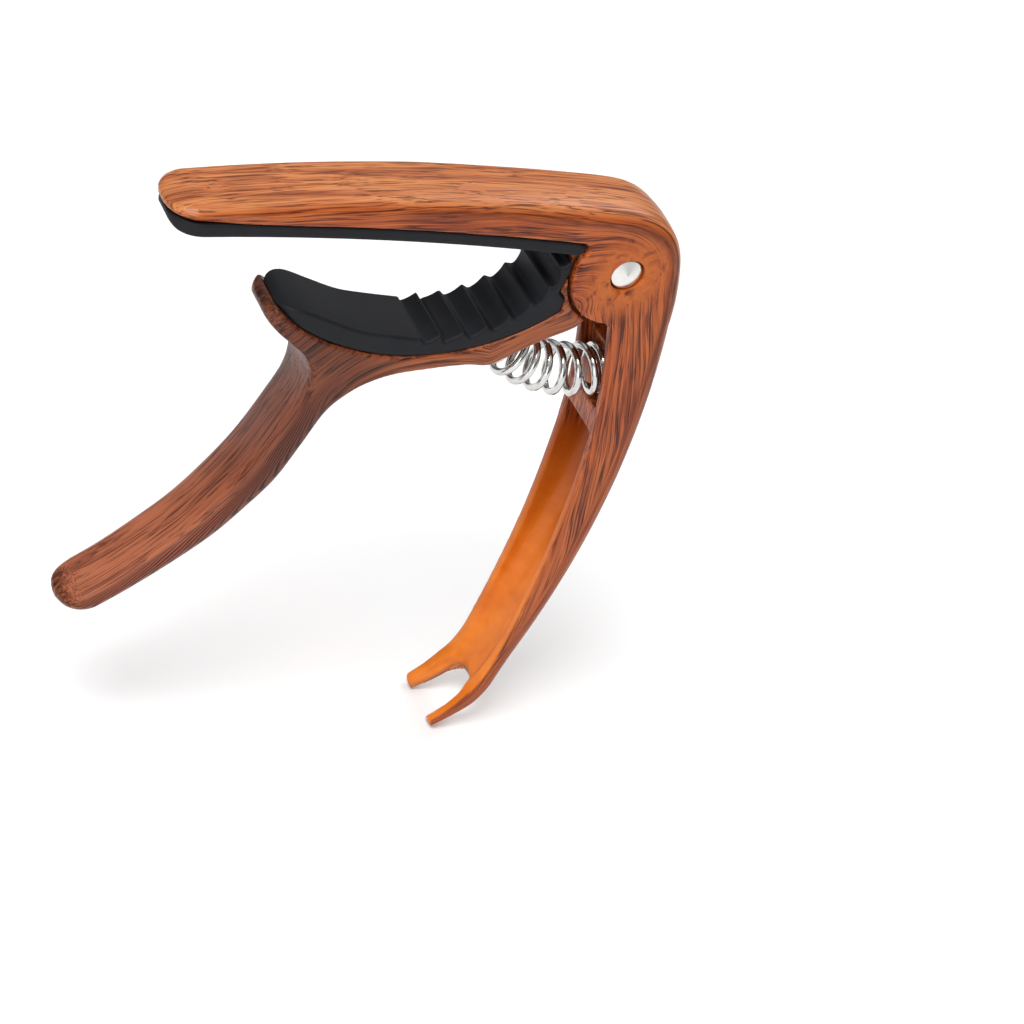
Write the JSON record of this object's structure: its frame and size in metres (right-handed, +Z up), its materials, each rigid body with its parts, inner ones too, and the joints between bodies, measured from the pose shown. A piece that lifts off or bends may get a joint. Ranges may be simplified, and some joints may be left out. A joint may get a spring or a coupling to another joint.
{
  "type": "guitar capo",
  "caption": "Squeeze-type guitar capo: arched string bar and sprung lower jaw with rubber pads, lever, and channel handle ending in a bridge pin fork.",
  "frame": {"origin": "middle of the string pad's pressing face", "axes": "+X along the string bar towards the pivot, +Y across the capo, +Z up, away from the fretboard that the pad presses on"},
  "size_m": [0.08, 0.0112, 0.0942],
  "materials": {
    "frame_film": "zinc die casting with a glossy wood-grain film, orange base coat showing inside the handle's channel",
    "jaw_film": "zinc die casting with a glossy wood-grain film",
    "string_pad_rubber": "moulded black rubber, fine satin surface",
    "jaw_pad_rubber": "moulded black rubber, fine satin surface",
    "pin_steel": "turned steel with a slightly conical end",
    "spring_nickel": "bright nickel-plated spring wire"
  },
  "bodies": {
    "frame_body": {"frame_casting": "frame_film", "string_pad": "string_pad_rubber", "pivot_pin": "pin_steel", "return_spring": "spring_nickel"},
    "jaw_body": {"jaw_casting": "jaw_film", "jaw_pad": "jaw_pad_rubber"}
  },
  "joints": [
    {"name": "jaw_hinge", "type": "hinge", "parent": "frame_body", "child": "jaw_body", "pos_m": [0.0375, 0, -0.00385], "axis": [0, -1, 0], "range_deg": [0, 28], "stiffness_Nm_per_rad": 0.9, "springref_deg": -34.38, "deforming": ["return_spring"]}
  ]
}
